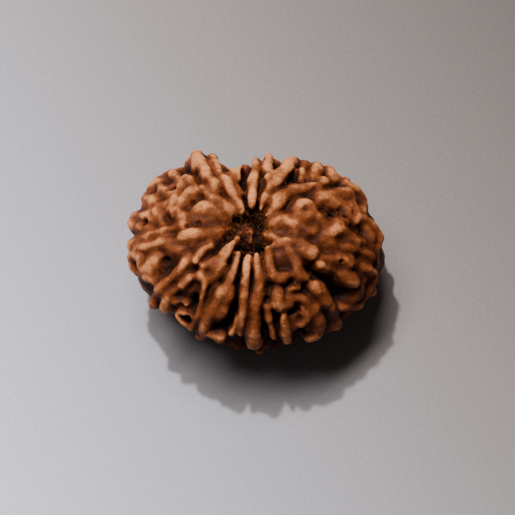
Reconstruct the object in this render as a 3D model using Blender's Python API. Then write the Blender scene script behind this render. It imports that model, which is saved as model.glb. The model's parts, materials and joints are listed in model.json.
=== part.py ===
"""A rudraksha seed: the hard, many-faced stone of one fruit, grown in one piece.

Deep clefts run from pole to pole and part the stone into narrow fins at the front and back and
broad, knobbly faces at the two ends. Every ridge is a row of overlapping beads laid on a guide
surface, a flattened egg with a pit at each pole. The beads are fused by a voxel remesh.

A place on the guide is given by two angles in degrees: bearing, counter-clockwise from +X seen
from above, and fall, from 0 at the upper pole over 90 at the girth to 180 at the lower pole.
"""

import math
import random

import bmesh
import bpy
from mathutils import Matrix, Vector, noise

MM = 0.001

# Driving sizes of the guide, a flattened egg that the crests of the ridges touch
HALF_LENGTH = 15.9 * MM
HALF_DEPTH = 12.5 * MM
HALF_HEIGHT = 9.8 * MM
POLE_SHIFT = -1.0 * MM
PIT_DEPTH = 1.9 * MM
PIT_SPREAD = 17.0

# The plan isn't a true oval: (bearing, share of the oval's reach)
PLAN = (
    (0, 1.02), (25, 1.03), (50, 1.09), (75, 1.05), (100, 1.02), (120, 1.12), (150, 1.07),
    (175, 1.0), (205, 0.99), (235, 0.99), (265, 1.08), (290, 1.03), (322, 0.97), (342, 1.0),
)

# How far the heart of the stone lies under the guide, which is the depth of the clefts, in mm:
# (bearing, depth)
CLEFTS = (
    (0, 0.95), (30, 0.95), (45, 1.9), (60, 3.2), (110, 3.4), (122, 1.8), (138, 0.85), (200, 0.8),
    (212, 1.3), (228, 2.1), (250, 3.6), (288, 3.6), (308, 2.4), (325, 1.6), (345, 1.0),
)
PIT_FLOOR = 4.0 * MM

# How much wider a ridge is at its root than at its crest, on each side, in mm, beside a cleft that is
# 1 mm deep. Deeper clefts have steeper sides.
FLANK_SPREAD = 1.2
CREST_RISE = 0.15

# Where the photograph was taken from, and its scale at the point it is aimed at
CAMERA_ELEVATION = math.radians(68)
CAMERA_DISTANCE = 230 * MM
AIM = Vector((0, 0, 9.5 * MM))
AIM_PIXEL = Vector((256, 257))
PIXELS_PER_MM = 8.125
BACK = Vector((0, -math.cos(CAMERA_ELEVATION), math.sin(CAMERA_ELEVATION)))
UP = Vector((0, math.sin(CAMERA_ELEVATION), math.cos(CAMERA_ELEVATION)))

# The ridges were read off four enlarged quarters of the photograph, each with this corner. A ridge's
# far side lies in shade, so the ridge is wider than it reads, by this share.
ENLARGED = 6.4
SHADED_SHARE = 1.2
QUARTER_CORNERS = {
    "upper_left": (118, 140),
    "upper_right": (250, 140),
    "lower_left": (118, 240),
    "lower_right": (250, 240),
}
# A ridge's crest: (x, y, half width, lift), ... The first three are in pixels of the enlarged
# quarter, and the lift over the guide is in mm.
READINGS = {
    "upper_left": (
        ((470, 116, 36, 0.5), (448, 152, 36, 0.65), (456, 192, 30, 0.4)),
        ((502, 100, 34, 0.5), (544, 134, 42, 0.8), (556, 172, 42, 0.8), (545, 204, 28, 0.4)),
        ((612, 128, 30, 0.4), (634, 162, 30, 0.4), (642, 195, 22, 0.1)),
        ((655, 208, 22, 0), (695, 265, 30, 0), (735, 330, 36, 0), (768, 395, 32, 0),
         (790, 455, 20, -0.2)),
        ((600, 240, 34, 0.05), (608, 272, 46, 0.2), (612, 314, 38, 0)),
        ((535, 290, 26, 0), (578, 330, 38, 0), (622, 368, 42, 0), (672, 412, 46, 0),
         (722, 460, 36, -0.1)),
        ((425, 225, 26, 0), (458, 252, 32, 0), (482, 287, 28, 0), (492, 315, 20, -0.1)),
        ((312, 262, 30, 0.2), (268, 243, 34, 0.3), (220, 256, 36, 0.3), (187, 300, 36, 0.2),
         (190, 350, 36, 0.1), (214, 386, 34, 0), (265, 406, 34, 0), (314, 394, 28, 0),
         (335, 340, 26, 0), (316, 276, 28, 0.1)),
        ((265, 226, 26, 0), (310, 200, 26, 0.1), (352, 212, 28, 0.1), (386, 246, 30, 0),
         (384, 292, 34, -0.1)),
        ((345, 290, 45, -0.3), (372, 340, 40, -0.2)),
        ((340, 385, 22, 0), (345, 405, 16, 0)),
        ((466, 316, 26, 0), (436, 346, 30, 0), (402, 386, 34, 0), (372, 428, 32, 0),
         (345, 455, 26, 0)),
        ((500, 440, 42, -0.2), (560, 428, 52, 0.05), (622, 442, 56, 0.1), (664, 484, 50, -0.05),
         (705, 520, 36, -0.3)),
        ((470, 490, 40, -0.35), (545, 500, 46, -0.3), (620, 505, 46, -0.25)),
        ((235, 440, 44, -0.15), (262, 500, 34, -0.1), (292, 556, 28, -0.1)),
        ((210, 410, 46, -0.25), (205, 455, 42, -0.3)),
        ((330, 440, 34, -0.15), (385, 455, 30, -0.1)),
        ((402, 486, 42, 0.25), (398, 530, 36, 0.05)),
        ((215, 516, 22, 0), (184, 486, 24, 0), (140, 479, 26, 0), (108, 512, 26, 0), (103, 552, 26, 0),
         (150, 560, 26, 0), (200, 562, 24, 0)),
        ((350, 552, 28, 0), (282, 578, 30, 0), (205, 594, 30, 0), (130, 624, 28, 0), (72, 660, 28, 0)),
        ((700, 560, 24, -0.2), (650, 572, 34, 0), (575, 590, 36, 0), (490, 598, 36, 0),
         (415, 612, 32, 0), (372, 640, 26, 0)),
        ((640, 608, 38, -0.35), (560, 640, 42, -0.4), (470, 650, 38, -0.4)),
        ((332, 640, 28, 0), (255, 652, 32, 0), (180, 672, 32, 0), (100, 692, 26, 0)),
        ((718, 172, 18, 0), (736, 196, 20, 0), (752, 240, 20, -0.2)),
        ((786, 164, 17, 0), (768, 200, 20, 0), (766, 240, 20, -0.2)),
        ((700, 215, 20, -0.2), (740, 262, 22, -0.3), (780, 330, 22, -0.4)),
    ),
    "upper_right": (
        ((12, 420, 14, -0.2), (14, 345, 22, 0), (20, 255, 36, 0), (30, 180, 32, 0.1),
         (42, 118, 24, 0.2)),
        ((118, 92, 19, 0.3), (112, 145, 28, 0.2), (130, 190, 34, 0)),
        ((70, 440, 13, -0.2), (92, 372, 26, 0), (122, 300, 40, 0), (165, 242, 42, 0),
         (205, 190, 40, 0), (242, 148, 40, 0.1), (284, 112, 42, 0.3)),
        ((112, 236, 22, 0), (160, 205, 24, 0), (200, 180, 24, 0)),
        ((350, 138, 26, 0.1), (352, 165, 24, -0.2)),
        ((112, 482, 18, -0.2), (158, 420, 36, 0), (212, 346, 50, 0), (280, 300, 54, 0),
         (350, 290, 46, 0), (424, 272, 24, 0)),
        ((338, 172, 28, 0), (345, 218, 34, -0.1)),
        ((398, 150, 36, 0.1), (424, 198, 38, 0.1), (402, 236, 26, -0.1)),
        ((470, 200, 34, 0.1), (525, 182, 52, 0.3), (572, 215, 40, 0.1)),
        ((488, 236, 34, 0.4), (462, 272, 28, 0), (446, 300, 22, -0.1)),
        ((632, 238, 28, 0), (620, 262, 24, 0)),
        ((438, 384, 28, -0.1), (478, 344, 54, 0.1), (540, 338, 62, 0.15), (598, 332, 56, 0.1),
         (640, 330, 40, 0)),
        ((486, 386, 48, -0.15), (556, 380, 58, -0.05), (620, 366, 48, -0.1), (640, 420, 36, -0.15)),
        ((645, 282, 30, 0), (690, 305, 46, 0.1), (738, 350, 46, 0.1), (752, 405, 40, 0.1),
         (728, 450, 30, 0)),
        ((655, 350, 44, -0.1), (668, 420, 44, -0.1), (700, 460, 36, -0.1)),
        ((608, 396, 18, 0), (630, 438, 18, 0), (656, 478, 20, 0), (690, 502, 24, 0)),
        ((352, 400, 34, 0.4), (395, 420, 30, 0.3), (400, 465, 30, 0.2), (352, 485, 30, 0.2),
         (308, 465, 30, 0.2), (305, 425, 32, 0.3), (345, 400, 34, 0.4)),
        ((350, 440, 40, 0.1), (345, 430, 40, 0.1)),
        ((150, 528, 38, -0.05), (215, 510, 50, 0.05), (290, 528, 58, 0.05), (352, 560, 50, 0),
         (405, 584, 34, -0.1)),
        ((440, 486, 36, 0.1), (486, 520, 44, 0.1), (530, 560, 40, 0)),
        ((470, 622, 38, 0), (528, 588, 54, 0.35), (590, 560, 56, 0.15), (642, 604, 60, 0.05),
         (696, 652, 50, -0.1)),
        ((560, 516, 40, -0.15), (622, 512, 40, -0.15)),
        ((692, 482, 22, 0), (758, 502, 32, 0.1), (818, 562, 38, 0.1), (842, 625, 36, 0.1),
         (838, 690, 34, 0.1)),
        ((760, 560, 40, -0.3), (790, 620, 44, -0.2)),
        ((110, 590, 26, -0.2), (180, 632, 34, 0), (255, 646, 36, 0), (335, 655, 36, 0),
         (385, 690, 34, 0)),
        ((180, 584, 38, -0.25), (260, 592, 44, -0.2), (340, 606, 44, -0.2)),
        ((420, 566, 54, -0.3), (430, 640, 54, -0.35), (520, 676, 54, -0.25)),
    ),
    "lower_left": (
        ((300, 8, 26, -0.1), (248, 16, 28, 0), (198, 26, 32, 0.1), (150, 44, 30, 0.1),
         (112, 40, 22, 0)),
        ((64, 112, 22, 0), (92, 92, 22, 0), (130, 118, 22, 0), (128, 165, 20, 0)),
        ((70, 160, 26, -0.1), (95, 210, 26, -0.1), (150, 240, 24, 0)),
        ((140, 196, 26, 0), (182, 168, 34, 0.1), (216, 132, 38, 0.3), (240, 108, 26, 0)),
        ((150, 236, 20, 0), (188, 252, 24, 0), (218, 276, 22, 0)),
        ((180, 220, 40, -0.5), (250, 240, 34, -0.5)),
        ((330, 40, 40, -0.1), (395, 60, 40, -0.1)),
        ((438, 112, 30, 0.1), (424, 140, 34, 0.2), (396, 192, 28, 0), (340, 232, 28, 0),
         (282, 290, 30, 0), (236, 352, 32, 0), (206, 420, 30, 0)),
        ((456, 242, 24, 0), (400, 292, 28, 0), (342, 340, 32, 0), (304, 400, 30, 0),
         (290, 448, 26, 0)),
        ((400, 240, 26, -0.5), (330, 290, 26, -0.5)),
        ((490, 300, 42, -0.45), (440, 340, 46, -0.5), (400, 385, 40, -0.6)),
        ((620, 300, 36, -0.8), (590, 360, 34, -0.9)),
        ((760, -20, 14, -0.1), (740, 12, 20, 0), (702, 60, 26, 0), (660, 112, 34, 0),
         (592, 142, 38, 0), (545, 166, 28, 0)),
        ((650, 160, 44, -0.1), (606, 218, 48, -0.1), (575, 260, 38, -0.2)),
        ((498, 132, 20, 0), (505, 100, 22, 0), (540, 60, 24, 0), (590, 20, 24, 0)),
        ((524, 232, 32, 0), (552, 252, 28, 0), (545, 315, 20, 0), (532, 378, 20, 0),
         (526, 420, 18, 0)),
        ((520, 432, 20, 0), (505, 482, 22, 0), (482, 530, 22, 0), (460, 572, 20, 0)),
        ((356, 408, 15, 0), (398, 398, 18, 0), (432, 420, 16, 0)),
        ((372, 482, 14, 0), (402, 518, 17, 0), (440, 545, 20, 0), (465, 572, 18, 0)),
        ((385, 462, 14, -0.1), (425, 465, 15, -0.1), (470, 490, 16, -0.1)),
        ((440, 440, 30, -0.6), (400, 440, 26, -0.6)),
        ((770, 82, 14, -0.1), (742, 170, 22, 0), (712, 250, 28, 0), (690, 300, 30, 0),
         (655, 345, 40, 0), (618, 400, 46, 0), (590, 460, 46, 0), (562, 530, 40, 0), (540, 590, 36, 0),
         (510, 636, 32, 0)),
        ((715, 300, 26, -0.2), (695, 370, 34, -0.3), (660, 440, 38, -0.3), (625, 510, 34, -0.5)),
        ((560, 600, 17, -0.1), (600, 612, 19, -0.1), (642, 636, 24, 0)),
        ((832, 108, 15, -0.1), (820, 200, 19, 0), (812, 300, 21, 0), (806, 400, 22, 0),
         (800, 480, 22, 0), (790, 560, 20, -0.1), (785, 615, 17, 0)),
        ((770, 500, 16, -0.3), (745, 570, 18, -0.2), (722, 602, 18, -0.1)),
    ),
    "lower_right": (
        ((42, 90, 12, -0.1), (50, 170, 21, 0), (66, 250, 32, 0), (70, 320, 40, 0), (52, 382, 38, 0),
         (34, 450, 34, 0), (26, 530, 34, 0), (20, 600, 38, 0), (32, 690, 46, 0.1)),
        ((110, 432, 20, -0.1), (124, 500, 19, -0.1), (145, 572, 18, -0.1), (156, 636, 15, -0.1)),
        ((112, 46, 22, 0), (124, 110, 30, 0), (136, 180, 34, 0), (160, 232, 42, 0), (212, 232, 44, 0),
         (240, 222, 36, 0)),
        ((150, 30, 24, -0.1), (200, 20, 26, 0), (250, 20, 28, 0)),
        ((262, 58, 60, 0.05), (286, 104, 60, 0.05), (298, 150, 50, 0.05)),
        ((190, 100, 44, -0.35), (206, 150, 44, -0.45)),
        ((405, 70, 42, 0.4), (350, 58, 40, 0.1)),
        ((302, 130, 34, -0.1), (302, 182, 40, 0), (328, 226, 44, 0), (362, 242, 28, 0)),
        ((176, 342, 38, 0), (172, 390, 40, 0), (202, 430, 42, 0), (252, 420, 40, -0.1),
         (258, 372, 38, -0.1)),
        ((262, 322, 16, 0), (290, 312, 19, 0.1), (318, 308, 18, 0)),
        ((335, 430, 34, -0.45), (395, 490, 40, -0.4), (395, 560, 38, -0.4)),
        ((300, 378, 28, 0), (350, 384, 36, 0.1), (402, 434, 42, 0.1), (440, 500, 44, 0.1),
         (458, 568, 44, 0.1), (438, 620, 42, 0.1), (388, 640, 34, 0)),
        ((345, 458, 28, 0), (372, 500, 32, 0.1), (332, 545, 22, 0)),
        ((228, 500, 24, 0), (232, 560, 33, 0.1), (240, 618, 37, 0.1), (248, 660, 28, 0)),
        ((290, 560, 24, -0.4), (282, 500, 26, -0.4)),
        ((418, 300, 32, 0), (450, 344, 58, 0), (490, 384, 56, 0), (512, 420, 36, 0)),
        ((508, 412, 32, 0), (538, 468, 46, 0), (558, 530, 46, 0), (574, 560, 32, 0)),
        ((470, 110, 40, 0), (560, 122, 46, 0.1), (650, 135, 52, 0.1), (722, 156, 46, 0.1),
         (772, 192, 30, 0.1)),
        ((455, 160, 24, 0), (500, 178, 28, -0.1), (545, 192, 24, -0.2)),
        ((598, 218, 30, 0), (642, 246, 44, 0.2), (692, 280, 26, 0.1)),
        ((440, 90, 34, -0.2), (520, 66, 38, -0.35), (600, 70, 38, -0.4)),
        ((772, 202, 24, 0), (808, 226, 26, 0), (798, 290, 30, 0), (762, 352, 34, 0), (722, 410, 34, 0),
         (652, 440, 28, 0), (602, 442, 22, 0)),
        ((706, 340, 58, -0.2), (660, 392, 46, -0.25)),
        ((745, 262, 44, -0.2), (720, 205, 40, -0.2)),
        ((520, 10, 36, 0), (600, 40, 34, 0), (690, 60, 34, 0), (790, 110, 34, 0)),
        ((700, 10, 40, -0.35), (780, 40, 42, -0.25), (830, 90, 36, -0.1), (832, 150, 30, -0.1)),
    ),
}
# Hollows pressed into the face: (x, y, radius, depth), the depth in mm
HOLLOWS = {
    "upper_left": (
        (245, 320, 50, 0.8), (348, 305, 34, 0.55), (475, 386, 26, 0.4), (165, 520, 36, 0.6),
        (312, 486, 38, 0.45), (440, 545, 26, 0.3), (510, 522, 22, 0.25), (490, 134, 16, 0.5),
        (496, 166, 17, 0.6), (500, 196, 15, 0.5),
    ),
    "upper_right": (
        (352, 442, 26, 0.35), (545, 456, 30, 0.7), (622, 482, 22, 0.6), (745, 575, 24, 0.4),
    ),
    "lower_left": (
        (290, 130, 34, 0.7), (490, 366, 22, 0.8), (448, 492, 24, 0.6),
    ),
    "lower_right": (
        (320, 455, 18, 0.8), (586, 136, 17, 0.45), (670, 192, 19, 0.5), (700, 296, 13, 0.5),
    ),
}
# The lumps that plug the pit: (bearing, fall, radius, lift), in mm
PLUG = ((190, 2.8, 0.8, -0.6), (40, 1.2, 0.85, -0.6), (110, 3.2, 0.7, -0.75), (290, 3.4, 0.7, -0.8))

# Ridges that cross the girth where the photograph doesn't show it: their bearings
GIRTH_RIDGES = (
    4, 15, 26, 36, 46, 55, 63, 71, 79.5, 87, 96, 103, 110, 118, 126, 134, 143, 153, 164, 175, 186,
    197, 208, 219, 229, 238, 247, 256, 265, 274, 283, 292, 302, 312, 322, 333, 343, 353,
)
# How far past the last fall that the photograph shows the hidden ridges start, in degrees, and how
# much farther at the front, where the fins stand clear of the dark under side
PAST_SIGHT = 8
FRONT_OVERHANG = 10
# The under side is hidden too. Its ridges go on from those of the upper side and wander off from
# them by up to this many degrees.
WANDER = 4.5
UNDER_SEED = 7

# The fineness of this plain model
VOXEL = 0.3 * MM
SMOOTHING_STEPS = 5
TRIANGLES = 11000
FLAT_SPOT = 0.35 * MM


def around_table(table, bearing):
    """The table's value at this bearing, easing from one stated bearing to the next."""
    bearing %= 360
    stops = table + ((360, table[0][1]),)
    for (low, a), (high, b) in zip(stops, stops[1:]):
        if low <= bearing <= high:
            part = (bearing - low) / (high - low)
            return a + (b - a) * part * part * (3 - 2 * part)


def guide_point(bearing, fall):
    turn, drop = math.radians(bearing), math.radians(fall)
    swell = 1 + (around_table(PLAN, bearing) - 1) * abs(math.sin(drop)) ** 1.5
    pole_distance = min(fall, 180 - fall) / PIT_SPREAD
    pit = PIT_DEPTH * math.exp(-pole_distance**2)
    side = 1 if fall < 90 else -1
    return Vector((
        HALF_LENGTH * swell * math.sin(drop) * math.cos(turn) + POLE_SHIFT * math.cos(drop),
        HALF_DEPTH * swell * math.sin(drop) * math.sin(turn),
        HALF_HEIGHT * (1 + math.cos(drop)) - side * pit,
    ))


def guide_frame(bearing, fall):
    """The guide's point, its outward normal and the direction in which the fall grows there."""
    step = 0.5
    point = guide_point(bearing, fall)
    down = guide_point(bearing, fall + step) - guide_point(bearing, fall - step)
    around = guide_point(bearing + step, fall) - guide_point(bearing - step, fall)
    return point, down.cross(around).normalized(), down.normalized()


def picture_place(bearing, fall, lift):
    """The pixel of the photograph that shows a point raised over the guide."""
    point, outward, _ = guide_frame(bearing, fall)
    away = point + outward * lift * MM - AIM - BACK * CAMERA_DISTANCE
    enlarging = PIXELS_PER_MM / MM * CAMERA_DISTANCE / -away.dot(BACK)
    return AIM_PIXEL + Vector((away.x, -away.dot(UP))) * enlarging


def first_guess(pixel):
    """The bearing and fall at which a parallel line of sight through the pixel meets a plain ellipsoid."""
    offset = (pixel - AIM_PIXEL) / PIXELS_PER_MM * MM
    middle = Vector((0, 0, HALF_HEIGHT))
    axes = (HALF_LENGTH, HALF_DEPTH, HALF_HEIGHT)
    start = AIM + Vector((1, 0, 0)) * offset.x - UP * offset.y - middle
    start, sight = (Vector([v / axis for v, axis in zip(line, axes)]) for line in (start, BACK))
    along = -start.dot(sight) / sight.length_squared
    spare = 1 - (start + sight * along).length_squared
    hit = start + sight * (along + math.sqrt(max(0, spare) / sight.length_squared))
    hit.normalize()
    return math.degrees(math.atan2(hit.y, hit.x)), math.degrees(math.acos(hit.z))


def sighted(corner, x, y, lift):
    """The bearing and fall of a crest of this lift that was read at x, y of an enlarged quarter."""
    pixel = Vector((corner[0] + x / ENLARGED, corner[1] + y / ENLARGED))
    bearing, fall = first_guess(pixel)
    closest = math.inf
    for _ in range(10):
        here = picture_place(bearing, fall, lift)
        miss = pixel - here
        if miss.length < closest:
            closest, found = miss.length, (bearing % 360, fall)
        across = picture_place(bearing + 1, fall, lift) - here
        down = picture_place(bearing, fall + 1, lift) - here
        area = across.cross(down)
        if abs(area) < 0.01:
            break
        bearing += max(-6, min(6, miss.cross(down) / area))
        fall = max(3, min(115, fall + max(-6, min(6, across.cross(miss) / area))))
    return found


def read_ridges():
    """The read ridges as ((bearing, fall, half width, lift), ...), in degrees and mm."""
    enlarged_mm = ENLARGED * PIXELS_PER_MM
    ridges = []
    for quarter, readings in READINGS.items():
        corner = QUARTER_CORNERS[quarter]
        for knots in readings:
            ridges.append([
                (*sighted(corner, x, y, lift), wide * SHADED_SHARE / enlarged_mm, lift)
                for x, y, wide, lift in knots
            ])
    return ridges


def add_bead(beads, centre, along, outward, half_width, root, flank=FLANK_SPREAD):
    """A ball whose lower half is drawn out into a sloping root, so that a row of them makes a ridge."""
    side = outward.cross(along).normalized()
    along = side.cross(outward)
    turn = Matrix((along, side, outward)).transposed()
    slope = flank * MM / (half_width * root)
    touch = slope / math.sqrt(1 + slope * slope)
    made = bmesh.ops.create_icosphere(beads, subdivisions=2, radius=1)
    for vertex in made["verts"]:
        x, y, z = vertex.co
        spread = 1
        if z < touch:
            girth = max(0.35, math.sqrt(max(0, 1 - z * z)))
            z = z * root if z < 0 else z
            spread = (math.sqrt(1 - touch * touch) + (touch - z) * slope) / girth
        vertex.co = centre + turn @ Vector((x * spread, y * spread, z)) * half_width


def as_object(shape, name):
    mesh = bpy.data.meshes.new(name)
    shape.to_mesh(mesh)
    shape.free()
    obj = bpy.data.objects.new(name, mesh)
    bpy.context.scene.collection.objects.link(obj)
    return obj


def smooth_knots(knots):
    """Points along a smooth curve through the knots, about half a half width apart."""
    ends = [knots[0], *knots, knots[-1]]
    points = []
    for before, a, b, after in zip(ends, ends[1:], ends[2:], ends[3:]):
        gap = (guide_point(a[0], a[1]) - guide_point(b[0], b[1])).length
        steps = max(1, round(gap / (0.45 * MM * min(a[2], b[2]))))
        for i in range(steps):
            t = i / steps
            points.append([
                0.5 * (2 * q + (r - p) * t + (2 * p - 5 * q + 4 * r - s) * t**2
                       + (3 * q - p - 3 * r + s) * t**3)
                for p, q, r, s in zip(before, a, b, after)
            ])
    return [*points, list(knots[-1])]


def unwrapped(knots):
    """The knots with no jump of a full turn between their bearings."""
    first = knots[0][0]
    return [((k[0] - first + 180) % 360 - 180 + first, *k[1:]) for k in knots]


def ridge(knots):
    """A row of beads on a curve. Its width and its path waver a little, as a grown ridge does."""
    centres = []
    for bearing, fall, half_width, lift in smooth_knots(unwrapped(knots)):
        point, outward, down = guide_frame(bearing, fall)
        waver = noise.noise(point / (1.7 * MM))
        drift = outward.cross(down) * noise.noise(point / (1.7 * MM) + Vector((9, 4, 2)))
        half_width *= 1 + 0.18 * waver
        lift += CREST_RISE + 0.42 * waver
        centre = point + outward * (lift - half_width) * MM + drift * 0.1 * half_width * MM
        cleft = around_table(CLEFTS, bearing)
        root = max(1.4, (cleft + 0.5) / half_width)
        centres.append((centre, outward, half_width * MM, root, FLANK_SPREAD / math.sqrt(cleft)))
    beads = bmesh.new()
    for i, (centre, *form) in enumerate(centres):
        before, after = centres[max(i - 1, 0)][0], centres[min(i + 1, len(centres) - 1)][0]
        add_bead(beads, centre, after - before, *form)
    return as_object(beads, "ridge")


def lumps(values):
    beads = bmesh.new()
    for bearing, fall, radius, lift in values:
        point, outward, down = guide_frame(bearing, fall)
        add_bead(beads, point + outward * (lift - radius) * MM, down, outward, radius * MM, 2.5)
    return as_object(beads, "lumps")


def heart_body():
    """The body under the ridges, which the clefts reach down to."""
    heart = bmesh.new()
    middle = Vector((0, 0, HALF_HEIGHT))
    made = bmesh.ops.create_uvsphere(heart, u_segments=72, v_segments=48, radius=1)
    for vertex in made["verts"]:
        fall = math.degrees(math.acos(max(-1, min(1, vertex.co.z))))
        bearing = math.degrees(math.atan2(vertex.co.y, vertex.co.x))
        point = guide_point(bearing, fall)
        depth = around_table(CLEFTS, bearing) * MM
        depth += (PIT_FLOOR - depth) * math.exp(-((min(fall, 180 - fall) / 11) ** 2))
        vertex.co = point - (point - middle).normalized() * depth
    return as_object(heart, "heart")


def first_hidden_fall(bearing):
    """The fall at which the ridges that the photograph doesn't show start."""
    steepness = HALF_DEPTH / HALF_HEIGHT * math.tan(CAMERA_ELEVATION)
    away = math.sin(math.radians(bearing))
    return math.degrees(math.atan2(steepness, away)) + PAST_SIGHT + FRONT_OVERHANG * max(0, -away)


def under_ridges(upper):
    """The upper ridges carried over the girth to the lower pole, each wandering off on its own."""
    draw = random.Random(UNDER_SEED)
    ridges = []
    for knots in upper:
        drift, width = draw.uniform(-1, 1), draw.uniform(0.85, 1.2)
        under = []
        for bearing, fall, half_width, lift in unwrapped(knots):
            drift = max(-1, min(1, drift + draw.uniform(-0.5, 0.5)))
            reached = 180 - fall + draw.uniform(-2, 2) * min(1, fall / 30)
            lift = min(lift, 0.3) + draw.uniform(-0.25, 0.1)
            if reached > first_hidden_fall(bearing):
                under.append((bearing + drift * WANDER, reached, half_width * width, lift))
        if len(under) > 1:
            ridges.append(under)
    return ridges


def girth_ridges():
    """Ridges over the hidden part of the girth, some with a knob at one side."""
    draw = random.Random(UNDER_SEED + 1)
    ridges = []
    for i, bearing in enumerate(GIRTH_RIDGES):
        room = min(12, (bearing - GIRTH_RIDGES[i - 1]) % 360)
        gap = (guide_point(bearing, 90) - guide_point(bearing - room, 90)).length / MM
        half_width = max(0.4, min(1.1, 0.36 * gap))
        first = first_hidden_fall(bearing)
        last = max(first + 30, 118)
        sway, knots = draw.uniform(-0.2, 0.2), []
        for step in range(5):
            fall = first + (last - first) * step / 4 + draw.uniform(-2, 2)
            lift = -0.9 if step == 0 else draw.uniform(-0.6, 0.1)
            knots.append((bearing + sway * room, fall, half_width * draw.uniform(0.8, 1.2), lift))
            sway = max(-0.35, min(0.35, sway + draw.uniform(-0.25, 0.25)))
            if 0 < step < 4 and draw.random() < 0.5:
                side = bearing + draw.choice((-0.55, 0.55)) * room
                knob = 0.6 * half_width + 0.15
                ridges.append(((bearing, fall, knob, lift), (side, fall + draw.uniform(-4, 4), knob, lift)))
        ridges.append(knots)
    return ridges


def raw_seed(name):
    """The heart, the ridges and the plugs as one heap of overlapping shapes."""
    upper = read_ridges()
    pieces = [heart_body()]
    pieces += [ridge(knots) for knots in upper + under_ridges(upper) + girth_ridges()]
    pieces.append(lumps(PLUG))
    pieces.append(lumps([(bearing, 180 - fall, radius, lift) for bearing, fall, radius, lift in PLUG]))
    bpy.context.view_layer.update()
    for obj in bpy.context.view_layer.objects:
        obj.select_set(obj in pieces)
    bpy.context.view_layer.objects.active = pieces[0]
    bpy.ops.object.join()
    pieces[0].name = name
    pieces[0].data.name = name
    return pieces[0]


def applied(obj):
    """The mesh that the object's modifiers make, which replaces the object's own."""
    graph = bpy.context.evaluated_depsgraph_get()
    mesh = bpy.data.meshes.new_from_object(obj.evaluated_get(graph))
    obj.modifiers.clear()
    obj.data = mesh


def keep_largest_body(mesh):
    """Drops any closed bubble that the remesh leaves between beads."""
    body = bmesh.new()
    body.from_mesh(mesh)
    left, islands = set(body.verts), []
    while left:
        island, front = set(), [left.pop()]
        while front:
            vertex = front.pop()
            island.add(vertex)
            for edge in vertex.link_edges:
                other = edge.other_vert(vertex)
                if other in left:
                    left.remove(other)
                    front.append(other)
        islands.append(island)
    islands.sort(key=len)
    for island in islands[:-1]:
        bmesh.ops.delete(body, geom=list(island), context="VERTS")
    body.to_mesh(mesh)
    body.free()


def press_hollows(mesh):
    enlarged_mm = ENLARGED * PIXELS_PER_MM
    for quarter, hollows in HOLLOWS.items():
        for x, y, wide, depth in hollows:
            point, outward, _ = guide_frame(*sighted(QUARTER_CORNERS[quarter], x, y, 0))
            radius = wide / enlarged_mm * MM
            for vertex in mesh.vertices:
                offset = vertex.co - point
                if offset.length > 4 * MM:
                    continue
                height = offset.dot(outward)
                away = (offset - outward * height).length / radius
                if away < 1:
                    vertex.co -= outward * depth * MM * (1 - away * away) ** 2


def roughen(mesh):
    """Low, irregular swellings over the whole face."""
    pushes = []
    for vertex in mesh.vertices:
        swelling = noise.noise(vertex.co / (2.2 * MM)) * 0.26 + noise.noise(vertex.co / (0.9 * MM)) * 0.1
        pushes.append(vertex.normal * swelling * MM)
    for vertex, push in zip(mesh.vertices, pushes):
        vertex.co += push


def fuse(obj, voxel, smoothing_steps, triangles):
    """Melts the heap into one skin, softens it, shapes its face and thins it out."""
    remesh = obj.modifiers.new("fuse", "REMESH")
    remesh.mode = "VOXEL"
    remesh.voxel_size = voxel
    soften = obj.modifiers.new("soften", "SMOOTH")
    soften.factor = 0.5
    soften.iterations = smoothing_steps
    applied(obj)
    keep_largest_body(obj.data)
    press_hollows(obj.data)
    roughen(obj.data)
    thin = obj.modifiers.new("thin", "DECIMATE")
    thin.ratio = min(1, triangles / (2 * len(obj.data.polygons)))
    applied(obj)


def stand_on_flat_spot(obj, flat_spot):
    """Wears the lowest crests flat, lowers the seed on to them and centres its plan on the origin."""
    body = bmesh.new()
    body.from_mesh(obj.data)
    base = min(vertex.co.z for vertex in body.verts) + flat_spot
    cut = bmesh.ops.bisect_plane(
        body, geom=[*body.verts, *body.edges, *body.faces], dist=1e-7,
        plane_co=(0, 0, base), plane_no=(0, 0, 1), clear_inner=True,
    )
    rim = [item for item in cut["geom_cut"] if isinstance(item, bmesh.types.BMEdge)]
    bmesh.ops.holes_fill(body, edges=rim, sides=0)
    middles = [sum(end(v.co[i] for v in body.verts) for end in (min, max)) / 2 for i in (0, 1)]
    bmesh.ops.translate(body, vec=(-middles[0], -middles[1], -base), verts=body.verts)
    bmesh.ops.recalc_face_normals(body, faces=body.faces)
    body.to_mesh(obj.data)
    body.free()


def seed_material():
    brown = bpy.data.materials.new("seed_brown")
    brown.use_nodes = True
    shader = brown.node_tree.nodes["Principled BSDF"]
    shader.inputs["Base Color"].default_value = (0.33, 0.135, 0.055, 1)
    shader.inputs["Roughness"].default_value = 0.5
    shader.inputs["Metallic"].default_value = 0
    return brown


def main():
    for obj in list(bpy.data.objects):
        bpy.data.objects.remove(obj)
    seed = raw_seed("rudraksha_seed")
    fuse(seed, VOXEL, SMOOTHING_STEPS, TRIANGLES)
    stand_on_flat_spot(seed, FLAT_SPOT)
    seed.data.shade_smooth()
    seed.data.materials.append(seed_material())


if __name__ == "__main__":
    main()
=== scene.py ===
"""A rudraksha seed as it looks: its fine face, its colours, and the fibres left in its pit and clefts.

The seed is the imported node's own form, made again on a finer mesh. A place on the guide, the
flattened egg that the crests of the ridges touch, is given by two angles in degrees: bearing,
counter-clockwise from +X seen from above, and fall, from 0 at the upper pole over 90 at the girth to
180 at the lower pole.
"""

import json
import math
import random

import bmesh
import bpy
import numpy as np
from mathutils import Matrix, Vector, noise
from mathutils.bvhtree import BVHTree

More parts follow.
